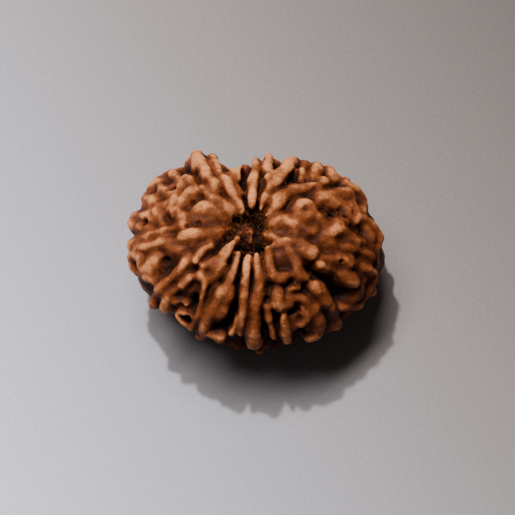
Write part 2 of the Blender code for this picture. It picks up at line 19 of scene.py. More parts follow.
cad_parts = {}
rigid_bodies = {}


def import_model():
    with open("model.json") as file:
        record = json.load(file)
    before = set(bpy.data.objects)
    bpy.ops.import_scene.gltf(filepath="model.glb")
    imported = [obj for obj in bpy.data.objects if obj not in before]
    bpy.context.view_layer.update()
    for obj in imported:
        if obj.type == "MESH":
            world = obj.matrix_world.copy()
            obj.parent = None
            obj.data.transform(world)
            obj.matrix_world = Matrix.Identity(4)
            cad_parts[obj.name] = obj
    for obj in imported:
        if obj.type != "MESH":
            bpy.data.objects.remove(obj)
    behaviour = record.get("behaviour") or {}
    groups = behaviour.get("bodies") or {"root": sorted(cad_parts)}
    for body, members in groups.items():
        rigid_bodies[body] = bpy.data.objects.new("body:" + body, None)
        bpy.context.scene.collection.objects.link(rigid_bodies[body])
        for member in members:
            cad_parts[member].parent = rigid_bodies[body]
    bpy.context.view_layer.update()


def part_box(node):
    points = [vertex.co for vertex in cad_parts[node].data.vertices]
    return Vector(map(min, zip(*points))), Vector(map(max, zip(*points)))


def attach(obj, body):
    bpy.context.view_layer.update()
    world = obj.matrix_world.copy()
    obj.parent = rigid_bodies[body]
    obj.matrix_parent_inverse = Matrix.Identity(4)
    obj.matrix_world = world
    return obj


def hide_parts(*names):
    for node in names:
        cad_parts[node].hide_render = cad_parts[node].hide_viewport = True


MM = 0.001

# Driving sizes of the guide, a flattened egg that the crests of the ridges touch
HALF_LENGTH = 15.9 * MM
HALF_DEPTH = 12.5 * MM
HALF_HEIGHT = 9.8 * MM
POLE_SHIFT = -1.0 * MM
PIT_DEPTH = 1.9 * MM
PIT_SPREAD = 17.0

# The plan isn't a true oval: (bearing, share of the oval's reach)
PLAN = (
    (0, 1.02), (25, 1.03), (50, 1.09), (75, 1.05), (100, 1.02), (120, 1.12), (150, 1.07),
    (175, 1.0), (205, 0.99), (235, 0.99), (265, 1.08), (290, 1.03), (322, 0.97), (342, 1.0),
)

# How far the heart of the stone lies under the guide, which is the depth of the clefts, in mm:
# (bearing, depth)
CLEFTS = (
    (0, 0.95), (30, 0.95), (45, 1.9), (60, 3.2), (110, 3.4), (122, 1.8), (138, 0.85), (200, 0.8),
    (212, 1.3), (228, 2.1), (250, 3.6), (288, 3.6), (308, 2.4), (325, 1.6), (345, 1.0),
)
PIT_FLOOR = 4.0 * MM

# How much wider a ridge is at its root than at its crest, on each side, in mm, beside a cleft that is
# 1 mm deep. Deeper clefts have steeper sides.
FLANK_SPREAD = 1.2
CREST_RISE = 0.15

# Where the photograph was taken from, and its scale at the point it is aimed at
CAMERA_ELEVATION = math.radians(68)
CAMERA_DISTANCE = 230 * MM
AIM = Vector((0, 0, 9.5 * MM))
AIM_PIXEL = Vector((256, 257))
PIXELS_PER_MM = 8.125
BACK = Vector((0, -math.cos(CAMERA_ELEVATION), math.sin(CAMERA_ELEVATION)))
UP = Vector((0, math.sin(CAMERA_ELEVATION), math.cos(CAMERA_ELEVATION)))

# The ridges were read off four enlarged quarters of the photograph, each with this corner. A ridge's
# far side lies in shade, so the ridge is wider than it reads, by this share.
ENLARGED = 6.4
SHADED_SHARE = 1.2
QUARTER_CORNERS = {
    "upper_left": (118, 140),
    "upper_right": (250, 140),
    "lower_left": (118, 240),
    "lower_right": (250, 240),
}
# A ridge's crest: (x, y, half width, lift), ... The first three are in pixels of the enlarged
# quarter, and the lift over the guide is in mm.
READINGS = {
    "upper_left": (
        ((470, 116, 36, 0.5), (448, 152, 36, 0.65), (456, 192, 30, 0.4)),
        ((502, 100, 34, 0.5), (544, 134, 42, 0.8), (556, 172, 42, 0.8), (545, 204, 28, 0.4)),
        ((612, 128, 30, 0.4), (634, 162, 30, 0.4), (642, 195, 22, 0.1)),
        ((655, 208, 22, 0), (695, 265, 30, 0), (735, 330, 36, 0), (768, 395, 32, 0),
         (790, 455, 20, -0.2)),
        ((600, 240, 34, 0.05), (608, 272, 46, 0.2), (612, 314, 38, 0)),
        ((535, 290, 26, 0), (578, 330, 38, 0), (622, 368, 42, 0), (672, 412, 46, 0),
         (722, 460, 36, -0.1)),
        ((425, 225, 26, 0), (458, 252, 32, 0), (482, 287, 28, 0), (492, 315, 20, -0.1)),
        ((312, 262, 30, 0.2), (268, 243, 34, 0.3), (220, 256, 36, 0.3), (187, 300, 36, 0.2),
         (190, 350, 36, 0.1), (214, 386, 34, 0), (265, 406, 34, 0), (314, 394, 28, 0),
         (335, 340, 26, 0), (316, 276, 28, 0.1)),
        ((265, 226, 26, 0), (310, 200, 26, 0.1), (352, 212, 28, 0.1), (386, 246, 30, 0),
         (384, 292, 34, -0.1)),
        ((345, 290, 45, -0.3), (372, 340, 40, -0.2)),
        ((340, 385, 22, 0), (345, 405, 16, 0)),
        ((466, 316, 26, 0), (436, 346, 30, 0), (402, 386, 34, 0), (372, 428, 32, 0),
         (345, 455, 26, 0)),
        ((500, 440, 42, -0.2), (560, 428, 52, 0.05), (622, 442, 56, 0.1), (664, 484, 50, -0.05),
         (705, 520, 36, -0.3)),
        ((470, 490, 40, -0.35), (545, 500, 46, -0.3), (620, 505, 46, -0.25)),
        ((235, 440, 44, -0.15), (262, 500, 34, -0.1), (292, 556, 28, -0.1)),
        ((210, 410, 46, -0.25), (205, 455, 42, -0.3)),
        ((330, 440, 34, -0.15), (385, 455, 30, -0.1)),
        ((402, 486, 42, 0.25), (398, 530, 36, 0.05)),
        ((215, 516, 22, 0), (184, 486, 24, 0), (140, 479, 26, 0), (108, 512, 26, 0), (103, 552, 26, 0),
         (150, 560, 26, 0), (200, 562, 24, 0)),
        ((350, 552, 28, 0), (282, 578, 30, 0), (205, 594, 30, 0), (130, 624, 28, 0), (72, 660, 28, 0)),
        ((700, 560, 24, -0.2), (650, 572, 34, 0), (575, 590, 36, 0), (490, 598, 36, 0),
         (415, 612, 32, 0), (372, 640, 26, 0)),
        ((640, 608, 38, -0.35), (560, 640, 42, -0.4), (470, 650, 38, -0.4)),
        ((332, 640, 28, 0), (255, 652, 32, 0), (180, 672, 32, 0), (100, 692, 26, 0)),
        ((718, 172, 18, 0), (736, 196, 20, 0), (752, 240, 20, -0.2)),
        ((786, 164, 17, 0), (768, 200, 20, 0), (766, 240, 20, -0.2)),
        ((700, 215, 20, -0.2), (740, 262, 22, -0.3), (780, 330, 22, -0.4)),
    ),
    "upper_right": (
        ((12, 420, 14, -0.2), (14, 345, 22, 0), (20, 255, 36, 0), (30, 180, 32, 0.1),
         (42, 118, 24, 0.2)),
        ((118, 92, 19, 0.3), (112, 145, 28, 0.2), (130, 190, 34, 0)),
        ((70, 440, 13, -0.2), (92, 372, 26, 0), (122, 300, 40, 0), (165, 242, 42, 0),
         (205, 190, 40, 0), (242, 148, 40, 0.1), (284, 112, 42, 0.3)),
        ((112, 236, 22, 0), (160, 205, 24, 0), (200, 180, 24, 0)),
        ((350, 138, 26, 0.1), (352, 165, 24, -0.2)),
        ((112, 482, 18, -0.2), (158, 420, 36, 0), (212, 346, 50, 0), (280, 300, 54, 0),
         (350, 290, 46, 0), (424, 272, 24, 0)),
        ((338, 172, 28, 0), (345, 218, 34, -0.1)),
        ((398, 150, 36, 0.1), (424, 198, 38, 0.1), (402, 236, 26, -0.1)),
        ((470, 200, 34, 0.1), (525, 182, 52, 0.3), (572, 215, 40, 0.1)),
        ((488, 236, 34, 0.4), (462, 272, 28, 0), (446, 300, 22, -0.1)),
        ((632, 238, 28, 0), (620, 262, 24, 0)),
        ((438, 384, 28, -0.1), (478, 344, 54, 0.1), (540, 338, 62, 0.15), (598, 332, 56, 0.1),
         (640, 330, 40, 0)),
        ((486, 386, 48, -0.15), (556, 380, 58, -0.05), (620, 366, 48, -0.1), (640, 420, 36, -0.15)),
        ((645, 282, 30, 0), (690, 305, 46, 0.1), (738, 350, 46, 0.1), (752, 405, 40, 0.1),
         (728, 450, 30, 0)),
        ((655, 350, 44, -0.1), (668, 420, 44, -0.1), (700, 460, 36, -0.1)),
        ((608, 396, 18, 0), (630, 438, 18, 0), (656, 478, 20, 0), (690, 502, 24, 0)),
        ((352, 400, 34, 0.4), (395, 420, 30, 0.3), (400, 465, 30, 0.2), (352, 485, 30, 0.2),
         (308, 465, 30, 0.2), (305, 425, 32, 0.3), (345, 400, 34, 0.4)),
        ((350, 440, 40, 0.1), (345, 430, 40, 0.1)),
        ((150, 528, 38, -0.05), (215, 510, 50, 0.05), (290, 528, 58, 0.05), (352, 560, 50, 0),
         (405, 584, 34, -0.1)),
        ((440, 486, 36, 0.1), (486, 520, 44, 0.1), (530, 560, 40, 0)),
        ((470, 622, 38, 0), (528, 588, 54, 0.35), (590, 560, 56, 0.15), (642, 604, 60, 0.05),
         (696, 652, 50, -0.1)),
        ((560, 516, 40, -0.15), (622, 512, 40, -0.15)),
        ((692, 482, 22, 0), (758, 502, 32, 0.1), (818, 562, 38, 0.1), (842, 625, 36, 0.1),
         (838, 690, 34, 0.1)),
        ((760, 560, 40, -0.3), (790, 620, 44, -0.2)),
        ((110, 590, 26, -0.2), (180, 632, 34, 0), (255, 646, 36, 0), (335, 655, 36, 0),
         (385, 690, 34, 0)),
        ((180, 584, 38, -0.25), (260, 592, 44, -0.2), (340, 606, 44, -0.2)),
        ((420, 566, 54, -0.3), (430, 640, 54, -0.35), (520, 676, 54, -0.25)),
    ),
    "lower_left": (
        ((300, 8, 26, -0.1), (248, 16, 28, 0), (198, 26, 32, 0.1), (150, 44, 30, 0.1),
         (112, 40, 22, 0)),
        ((64, 112, 22, 0), (92, 92, 22, 0), (130, 118, 22, 0), (128, 165, 20, 0)),
        ((70, 160, 26, -0.1), (95, 210, 26, -0.1), (150, 240, 24, 0)),
        ((140, 196, 26, 0), (182, 168, 34, 0.1), (216, 132, 38, 0.3), (240, 108, 26, 0)),
        ((150, 236, 20, 0), (188, 252, 24, 0), (218, 276, 22, 0)),
        ((180, 220, 40, -0.5), (250, 240, 34, -0.5)),
        ((330, 40, 40, -0.1), (395, 60, 40, -0.1)),
        ((438, 112, 30, 0.1), (424, 140, 34, 0.2), (396, 192, 28, 0), (340, 232, 28, 0),
         (282, 290, 30, 0), (236, 352, 32, 0), (206, 420, 30, 0)),
        ((456, 242, 24, 0), (400, 292, 28, 0), (342, 340, 32, 0), (304, 400, 30, 0),
         (290, 448, 26, 0)),
        ((400, 240, 26, -0.5), (330, 290, 26, -0.5)),
        ((490, 300, 42, -0.45), (440, 340, 46, -0.5), (400, 385, 40, -0.6)),
        ((620, 300, 36, -0.8), (590, 360, 34, -0.9)),
        ((760, -20, 14, -0.1), (740, 12, 20, 0), (702, 60, 26, 0), (660, 112, 34, 0),
         (592, 142, 38, 0), (545, 166, 28, 0)),
        ((650, 160, 44, -0.1), (606, 218, 48, -0.1), (575, 260, 38, -0.2)),
        ((498, 132, 20, 0), (505, 100, 22, 0), (540, 60, 24, 0), (590, 20, 24, 0)),
        ((524, 232, 32, 0), (552, 252, 28, 0), (545, 315, 20, 0), (532, 378, 20, 0),
         (526, 420, 18, 0)),
        ((520, 432, 20, 0), (505, 482, 22, 0), (482, 530, 22, 0), (460, 572, 20, 0)),
        ((356, 408, 15, 0), (398, 398, 18, 0), (432, 420, 16, 0)),
        ((372, 482, 14, 0), (402, 518, 17, 0), (440, 545, 20, 0), (465, 572, 18, 0)),
        ((385, 462, 14, -0.1), (425, 465, 15, -0.1), (470, 490, 16, -0.1)),
        ((440, 440, 30, -0.6), (400, 440, 26, -0.6)),
        ((770, 82, 14, -0.1), (742, 170, 22, 0), (712, 250, 28, 0), (690, 300, 30, 0),
         (655, 345, 40, 0), (618, 400, 46, 0), (590, 460, 46, 0), (562, 530, 40, 0), (540, 590, 36, 0),
         (510, 636, 32, 0)),
        ((715, 300, 26, -0.2), (695, 370, 34, -0.3), (660, 440, 38, -0.3), (625, 510, 34, -0.5)),
        ((560, 600, 17, -0.1), (600, 612, 19, -0.1), (642, 636, 24, 0)),
        ((832, 108, 15, -0.1), (820, 200, 19, 0), (812, 300, 21, 0), (806, 400, 22, 0),
         (800, 480, 22, 0), (790, 560, 20, -0.1), (785, 615, 17, 0)),
        ((770, 500, 16, -0.3), (745, 570, 18, -0.2), (722, 602, 18, -0.1)),
    ),
    "lower_right": (
        ((42, 90, 12, -0.1), (50, 170, 21, 0), (66, 250, 32, 0), (70, 320, 40, 0), (52, 382, 38, 0),
         (34, 450, 34, 0), (26, 530, 34, 0), (20, 600, 38, 0), (32, 690, 46, 0.1)),
        ((110, 432, 20, -0.1), (124, 500, 19, -0.1), (145, 572, 18, -0.1), (156, 636, 15, -0.1)),
        ((112, 46, 22, 0), (124, 110, 30, 0), (136, 180, 34, 0), (160, 232, 42, 0), (212, 232, 44, 0),
         (240, 222, 36, 0)),
        ((150, 30, 24, -0.1), (200, 20, 26, 0), (250, 20, 28, 0)),
        ((262, 58, 60, 0.05), (286, 104, 60, 0.05), (298, 150, 50, 0.05)),
        ((190, 100, 44, -0.35), (206, 150, 44, -0.45)),
        ((405, 70, 42, 0.4), (350, 58, 40, 0.1)),
        ((302, 130, 34, -0.1), (302, 182, 40, 0), (328, 226, 44, 0), (362, 242, 28, 0)),
        ((176, 342, 38, 0), (172, 390, 40, 0), (202, 430, 42, 0), (252, 420, 40, -0.1),
         (258, 372, 38, -0.1)),
        ((262, 322, 16, 0), (290, 312, 19, 0.1), (318, 308, 18, 0)),
        ((335, 430, 34, -0.45), (395, 490, 40, -0.4), (395, 560, 38, -0.4)),
        ((300, 378, 28, 0), (350, 384, 36, 0.1), (402, 434, 42, 0.1), (440, 500, 44, 0.1),
         (458, 568, 44, 0.1), (438, 620, 42, 0.1), (388, 640, 34, 0)),
        ((345, 458, 28, 0), (372, 500, 32, 0.1), (332, 545, 22, 0)),
        ((228, 500, 24, 0), (232, 560, 33, 0.1), (240, 618, 37, 0.1), (248, 660, 28, 0)),
        ((290, 560, 24, -0.4), (282, 500, 26, -0.4)),
        ((418, 300, 32, 0), (450, 344, 58, 0), (490, 384, 56, 0), (512, 420, 36, 0)),
        ((508, 412, 32, 0), (538, 468, 46, 0), (558, 530, 46, 0), (574, 560, 32, 0)),
        ((470, 110, 40, 0), (560, 122, 46, 0.1), (650, 135, 52, 0.1), (722, 156, 46, 0.1),
         (772, 192, 30, 0.1)),
        ((455, 160, 24, 0), (500, 178, 28, -0.1), (545, 192, 24, -0.2)),
        ((598, 218, 30, 0), (642, 246, 44, 0.2), (692, 280, 26, 0.1)),
        ((440, 90, 34, -0.2), (520, 66, 38, -0.35), (600, 70, 38, -0.4)),
        ((772, 202, 24, 0), (808, 226, 26, 0), (798, 290, 30, 0), (762, 352, 34, 0), (722, 410, 34, 0),
         (652, 440, 28, 0), (602, 442, 22, 0)),
        ((706, 340, 58, -0.2), (660, 392, 46, -0.25)),
        ((745, 262, 44, -0.2), (720, 205, 40, -0.2)),
        ((520, 10, 36, 0), (600, 40, 34, 0), (690, 60, 34, 0), (790, 110, 34, 0)),
        ((700, 10, 40, -0.35), (780, 40, 42, -0.25), (830, 90, 36, -0.1), (832, 150, 30, -0.1)),
    ),
}
# Hollows pressed into the face: (x, y, radius, depth), the depth in mm
HOLLOWS = {
    "upper_left": (
        (245, 320, 50, 0.8), (348, 305, 34, 0.55), (475, 386, 26, 0.4), (165, 520, 36, 0.6),
        (312, 486, 38, 0.45), (440, 545, 26, 0.3), (510, 522, 22, 0.25), (490, 134, 16, 0.5),
        (496, 166, 17, 0.6), (500, 196, 15, 0.5),
    ),
    "upper_right": (
        (352, 442, 26, 0.35), (545, 456, 30, 0.7), (622, 482, 22, 0.6), (745, 575, 24, 0.4),
    ),
    "lower_left": (
        (290, 130, 34, 0.7), (490, 366, 22, 0.8), (448, 492, 24, 0.6),
    ),
    "lower_right": (
        (320, 455, 18, 0.8), (586, 136, 17, 0.45), (670, 192, 19, 0.5), (700, 296, 13, 0.5),
    ),
}
# The lumps that plug the pit: (bearing, fall, radius, lift), in mm
PLUG = ((190, 2.8, 0.8, -0.6), (40, 1.2, 0.85, -0.6), (110, 3.2, 0.7, -0.75), (290, 3.4, 0.7, -0.8))

# Ridges that cross the girth where the photograph doesn't show it: their bearings
GIRTH_RIDGES = (
    4, 15, 26, 36, 46, 55, 63, 71, 79.5, 87, 96, 103, 110, 118, 126, 134, 143, 153, 164, 175, 186,
    197, 208, 219, 229, 238, 247, 256, 265, 274, 283, 292, 302, 312, 322, 333, 343, 353,
)
# How far past the last fall that the photograph shows the hidden ridges start, in degrees, and how
# much farther at the front, where the fins stand clear of the dark under side
PAST_SIGHT = 8
FRONT_OVERHANG = 10
# The under side is hidden too. Its ridges go on from those of the upper side and wander off from
# them by up to this many degrees.
WANDER = 4.5
UNDER_SEED = 7

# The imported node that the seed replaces, how fine the mesh is, and how much is worn off underneath
NODE = "rudraksha_seed"
VOXEL = 0.17 * MM
SMOOTHING_STEPS = 4
TRIANGLES = 190000
FLAT_SPOT = 0.3 * MM

# How far round each pole the pit reaches, how rough its torn wall is, and the share of that which is
# too little to draw
PIT_REACH = 2.6 * MM
TORN_GRAIN = 0.4 * MM
TORN_HEIGHT = 0.32 * MM
LEAST_TEAR = 0.05

# Rays tell how open each point of the face lies to the sky over it: how many there are, how far over
# the face they start, how far they look, and how light a wall at that distance counts
SKY_RAYS = 10
RAY_START = 0.02 * MM
SKY_REACH = 4.5 * MM
WALL_LIGHT = 0.6

# How many rounds of softening part a ridge from its neighbours, and the seed's lobes from each other
RIDGE_ROUNDS = 40
LOBE_ROUNDS = 260

# Loose fibres: (first bearing, last bearing, first fall, last fall, count, longest in mm)
FIBRE_ZONES = (
    (0, 360, 4, 12, 220, 1.1), (35, 115, 9, 15, 90, 1.4), (270, 330, 9, 16, 60, 1.2),
    (150, 260, 8, 13, 24, 1.0), (18, 26, 36, 43, 14, 1.1), (52, 64, 33, 42, 12, 1.0),
    (40, 47, 30, 38, 8, 0.9), (200, 208, 44, 50, 8, 0.8), (216, 224, 37, 44, 12, 1.0),
    (300, 307, 34, 42, 12, 1.0), (316, 322, 38, 44, 6, 0.9), (0, 360, 20, 70, 60, 0.7),
    (0, 360, 110, 160, 60, 0.7), (0, 360, 168, 173, 50, 1.2),
)
FIBRE_SEED = 3
FIBRE_RADIUS = 0.015 * MM
FIBRE_POINTS = 6
FIBRE_LEAN = 1.1
FIBRE_CURL = 0.25
# Where a fibre may root: the skin is looked for from this far over the guide to this far under it, and
# most places less than this far under it stay bare. The root lies a little way inside the skin.
SEARCH_START = 2 * MM
SEARCH_END = 5 * MM
SHALLOW = 0.5 * MM
SHALLOW_BARE = 0.7
ROOT_DEPTH = 0.05 * MM
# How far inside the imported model's box the fibres stay
BOX_MARGIN = 0.05 * MM

# Papery flakes, read off the enlarged quarters and drawn as short threads: (quarter, radius as it
# reads in mm, lift in mm, (x, y), ...). Light spreads round a flake, so it reads this much too thick.
FLAKES = (
    ("upper_left", 0.09, -0.35, (228, 386), (262, 382), (288, 356), (302, 332)),
    ("lower_left", 0.06, -0.3, (262, 182), (282, 196), (298, 210)),
    ("upper_right", 0.05, -0.4, (540, 446), (556, 462), (552, 486)),
    ("upper_right", 0.05, -0.4, (452, 452), (470, 462), (486, 478)),
    ("lower_right", 0.04, -0.3, (292, 236), (300, 262), (297, 300)),
)
READS_THICKER = 2.2

# A thread's thickness: its least share, and the part of a half wave that swells it along its length
THREAD_LEAST = 0.35
THREAD_WAVE_START = 0.2
THREAD_WAVE = 0.7

# Colours as they look, in 0 to 255
CREST_TAN = (224, 150, 97)
FACE_TAN = (132, 73, 39)
FLANK_BROWN = (77, 37, 18)
CLEFT_BROWN = (40, 19, 10)
CLEFT_BLACK = (20, 10, 7)
GRAIN_SHADE = (214, 196, 184)
FIBRE_TAN = (150, 92, 50)
FLOOR_PALE = (215, 215, 226)
FLOOR_WARM = (222, 211, 208)
WHITE = (255, 255, 255)

# The shell's tones: (how dark it lies, from 0 to 1, and its colour there). Painted shade pushes clefts,
# valleys and the side away from the lamps towards the dark stops.
SHELL_TONES = (
    (0.0, CREST_TAN), (0.18, FACE_TAN), (0.4, FLANK_BROWN), (0.7, CLEFT_BROWN), (1.0, CLEFT_BLACK),
)
# The seed's lower right front, away from the lamps, darkened with painted shade: its direction, in 1 / m
PAINTED_SHADE_SIDE = Vector((18.0, -44.0, -20.0))

# Noises: (size of a lump, finer layers, how strong those are)
MOTTLING = (2.6 * MM, 4, 0.6)
STAINS = (0.9 * MM, 5, 0.65)
SHELL_GRAIN = (0.16 * MM, 3, 0.6)
FIBRE_STREAKS = (0.3 * MM, 3, 0.55)
FLOOR_GRAIN = (0.5 * MM, 2, 0.55)
PORE_SPACING = 1.5 * MM
# How high the bumps stand on the shell, and on the fibres and the floor
SHELL_BUMP = 0.055 * MM
FINE_BUMP = 0.01 * MM
# How much everything here shines, which is little
SHINE = 0.08

# The floor's colour darkens and warms towards the back right, a painted falloff of light: the share of its
# pale tone under the seed, and the powers of e by which that grows in each metre along X and Y. Its specks
# are given in linear light.
FLOOR_MIDDLE = 0.48
FLOOR_PAINTED_FALLOFF = Vector((-14.0, -10.1, 0))
FLOOR_SPECK = (0.5, 0.5, 0.52, 1)
FLOOR_WIDTH = 3.0

# The lamps over the seed, in metres: (place, width, height, power in watts, colour)
LAMPS = (
    (Vector((-0.109, 0.222, 0.544)), 0.028, 0.028, 3.4, (1, 0.985, 0.98)),
    (Vector((-0.08, 0.09, 0.36)), 0.3, 0.12, 1.42, (1, 0.93, 0.89)),
)
SKY_COLOUR = (1, 0.95, 0.92, 1)
SKY_STRENGTH = 0.05
# The camera's sensor in mm, and the side of the photograph in pixels
SENSOR = 36
FRAME_PIXELS = 515


def around_table(table, bearing):
    """The table's value at this bearing, easing from one stated bearing to the next."""
    bearing %= 360
    stops = table + ((360, table[0][1]),)
    for (low, a), (high, b) in zip(stops, stops[1:]):
        if low <= bearing <= high:
            part = (bearing - low) / (high - low)
            return a + (b - a) * part * part * (3 - 2 * part)


def guide_point(bearing, fall):
    turn, drop = math.radians(bearing), math.radians(fall)
    swell = 1 + (around_table(PLAN, bearing) - 1) * abs(math.sin(drop)) ** 1.5
    pole_distance = min(fall, 180 - fall) / PIT_SPREAD
    pit = PIT_DEPTH * math.exp(-pole_distance**2)
    side = 1 if fall < 90 else -1
    return Vector((
        HALF_LENGTH * swell * math.sin(drop) * math.cos(turn) + POLE_SHIFT * math.cos(drop),
        HALF_DEPTH * swell * math.sin(drop) * math.sin(turn),
        HALF_HEIGHT * (1 + math.cos(drop)) - side * pit,
    ))


def guide_frame(bearing, fall):
    """The guide's point, its outward normal and the direction in which the fall grows there."""
    step = 0.5
    point = guide_point(bearing, fall)
    down = guide_point(bearing, fall + step) - guide_point(bearing, fall - step)
    around = guide_point(bearing + step, fall) - guide_point(bearing - step, fall)
    return point, down.cross(around).normalized(), down.normalized()


def picture_place(bearing, fall, lift):
    """The pixel of the photograph that shows a point raised over the guide."""
    point, outward, _ = guide_frame(bearing, fall)
    away = point + outward * lift * MM - AIM - BACK * CAMERA_DISTANCE
    enlarging = PIXELS_PER_MM / MM * CAMERA_DISTANCE / -away.dot(BACK)
    return AIM_PIXEL + Vector((away.x, -away.dot(UP))) * enlarging


def first_guess(pixel):
    """The bearing and fall at which a parallel line of sight through the pixel meets a plain ellipsoid."""
    offset = (pixel - AIM_PIXEL) / PIXELS_PER_MM * MM
    middle = Vector((0, 0, HALF_HEIGHT))
    axes = (HALF_LENGTH, HALF_DEPTH, HALF_HEIGHT)
    start = AIM + Vector((1, 0, 0)) * offset.x - UP * offset.y - middle
    start, sight = (Vector([v / axis for v, axis in zip(line, axes)]) for line in (start, BACK))
    along = -start.dot(sight) / sight.length_squared
    spare = 1 - (start + sight * along).length_squared
    hit = start + sight * (along + math.sqrt(max(0, spare) / sight.length_squared))
    hit.normalize()
    return math.degrees(math.atan2(hit.y, hit.x)), math.degrees(math.acos(hit.z))


def sighted(corner, x, y, lift):
    """The bearing and fall of a crest of this lift that was read at x, y of an enlarged quarter."""
    pixel = Vector((corner[0] + x / ENLARGED, corner[1] + y / ENLARGED))
    bearing, fall = first_guess(pixel)
    closest = math.inf
    for _ in range(10):
        here = picture_place(bearing, fall, lift)
        miss = pixel - here
        if miss.length < closest:
            closest, found = miss.length, (bearing % 360, fall)
        across = picture_place(bearing + 1, fall, lift) - here
        down = picture_place(bearing, fall + 1, lift) - here
        area = across.cross(down)
        if abs(area) < 0.01:
            break
        bearing += max(-6, min(6, miss.cross(down) / area))
        fall = max(3, min(115, fall + max(-6, min(6, across.cross(miss) / area))))
    return found


def read_ridges():
    """The read ridges as ((bearing, fall, half width, lift), ...), in degrees and mm."""
    enlarged_mm = ENLARGED * PIXELS_PER_MM
    ridges = []
    for quarter, readings in READINGS.items():
        corner = QUARTER_CORNERS[quarter]
        for knots in readings:
            ridges.append([
                (*sighted(corner, x, y, lift), wide * SHADED_SHARE / enlarged_mm, lift)
                for x, y, wide, lift in knots
            ])
    return ridges


def add_bead(beads, centre, along, outward, half_width, root, flank=FLANK_SPREAD):
    """A ball whose lower half is drawn out into a sloping root, so that a row of them makes a ridge."""
    side = outward.cross(along).normalized()
    along = side.cross(outward)
    turn = Matrix((along, side, outward)).transposed()
    slope = flank * MM / (half_width * root)
    touch = slope / math.sqrt(1 + slope * slope)
    made = bmesh.ops.create_icosphere(beads, subdivisions=2, radius=1)
    for vertex in made["verts"]:
        x, y, z = vertex.co
        spread = 1
        if z < touch:
            girth = max(0.35, math.sqrt(max(0, 1 - z * z)))
            z = z * root if z < 0 else z
            spread = (math.sqrt(1 - touch * touch) + (touch - z) * slope) / girth
        vertex.co = centre + turn @ Vector((x * spread, y * spread, z)) * half_width


def as_object(shape, name):
    mesh = bpy.data.meshes.new(name)
    shape.to_mesh(mesh)
    shape.free()
    obj = bpy.data.objects.new(name, mesh)
    bpy.context.scene.collection.objects.link(obj)
    return obj


def smooth_knots(knots):
    """Points along a smooth curve through the knots, about half a half width apart."""
    ends = [knots[0], *knots, knots[-1]]
    points = []
    for before, a, b, after in zip(ends, ends[1:], ends[2:], ends[3:]):
        gap = (guide_point(a[0], a[1]) - guide_point(b[0], b[1])).length
        steps = max(1, round(gap / (0.45 * MM * min(a[2], b[2]))))
        for i in range(steps):
            t = i / steps
            points.append([
                0.5 * (2 * q + (r - p) * t + (2 * p - 5 * q + 4 * r - s) * t**2
                       + (3 * q - p - 3 * r + s) * t**3)
                for p, q, r, s in zip(before, a, b, after)
            ])
    return [*points, list(knots[-1])]


def unwrapped(knots):
    """The knots with no jump of a full turn between their bearings."""
    first = knots[0][0]
    return [((k[0] - first + 180) % 360 - 180 + first, *k[1:]) for k in knots]


def ridge(knots):
    """A row of beads on a curve. Its width and its path waver a little, as a grown ridge does."""
    centres = []
    for bearing, fall, half_width, lift in smooth_knots(unwrapped(knots)):
        point, outward, down = guide_frame(bearing, fall)
        waver = noise.noise(point / (1.7 * MM))
        drift = outward.cross(down) * noise.noise(point / (1.7 * MM) + Vector((9, 4, 2)))
        half_width *= 1 + 0.18 * waver
        lift += CREST_RISE + 0.42 * waver
        centre = point + outward * (lift - half_width) * MM + drift * 0.1 * half_width * MM
        cleft = around_table(CLEFTS, bearing)
        root = max(1.4, (cleft + 0.5) / half_width)
        centres.append((centre, outward, half_width * MM, root, FLANK_SPREAD / math.sqrt(cleft)))
    beads = bmesh.new()
    for i, (centre, *form) in enumerate(centres):
        before, after = centres[max(i - 1, 0)][0], centres[min(i + 1, len(centres) - 1)][0]
        add_bead(beads, centre, after - before, *form)
    return as_object(beads, "ridge")


def lumps(values):
    beads = bmesh.new()
    for bearing, fall, radius, lift in values:
        point, outward, down = guide_frame(bearing, fall)
        add_bead(beads, point + outward * (lift - radius) * MM, down, outward, radius * MM, 2.5)
    return as_object(beads, "lumps")


def heart_body():
    """The body under the ridges, which the clefts reach down to."""
    heart = bmesh.new()
    middle = Vector((0, 0, HALF_HEIGHT))
    made = bmesh.ops.create_uvsphere(heart, u_segments=72, v_segments=48, radius=1)
    for vertex in made["verts"]:
        fall = math.degrees(math.acos(max(-1, min(1, vertex.co.z))))
        bearing = math.degrees(math.atan2(vertex.co.y, vertex.co.x))
        point = guide_point(bearing, fall)
        depth = around_table(CLEFTS, bearing) * MM
        depth += (PIT_FLOOR - depth) * math.exp(-((min(fall, 180 - fall) / 11) ** 2))
        vertex.co = point - (point - middle).normalized() * depth
    return as_object(heart, "heart")


def first_hidden_fall(bearing):
    """The fall at which the ridges that the photograph doesn't show start."""
    steepness = HALF_DEPTH / HALF_HEIGHT * math.tan(CAMERA_ELEVATION)
    away = math.sin(math.radians(bearing))
    return math.degrees(math.atan2(steepness, away)) + PAST_SIGHT + FRONT_OVERHANG * max(0, -away)


def under_ridges(upper):
    """The upper ridges carried over the girth to the lower pole, each wandering off on its own."""
    draw = random.Random(UNDER_SEED)
    ridges = []
    for knots in upper:
        drift, width = draw.uniform(-1, 1), draw.uniform(0.85, 1.2)
        under = []
        for bearing, fall, half_width, lift in unwrapped(knots):
            drift = max(-1, min(1, drift + draw.uniform(-0.5, 0.5)))
            reached = 180 - fall + draw.uniform(-2, 2) * min(1, fall / 30)
            lift = min(lift, 0.3) + draw.uniform(-0.25, 0.1)
            if reached > first_hidden_fall(bearing):
                under.append((bearing + drift * WANDER, reached, half_width * width, lift))
        if len(under) > 1:
            ridges.append(under)
    return ridges


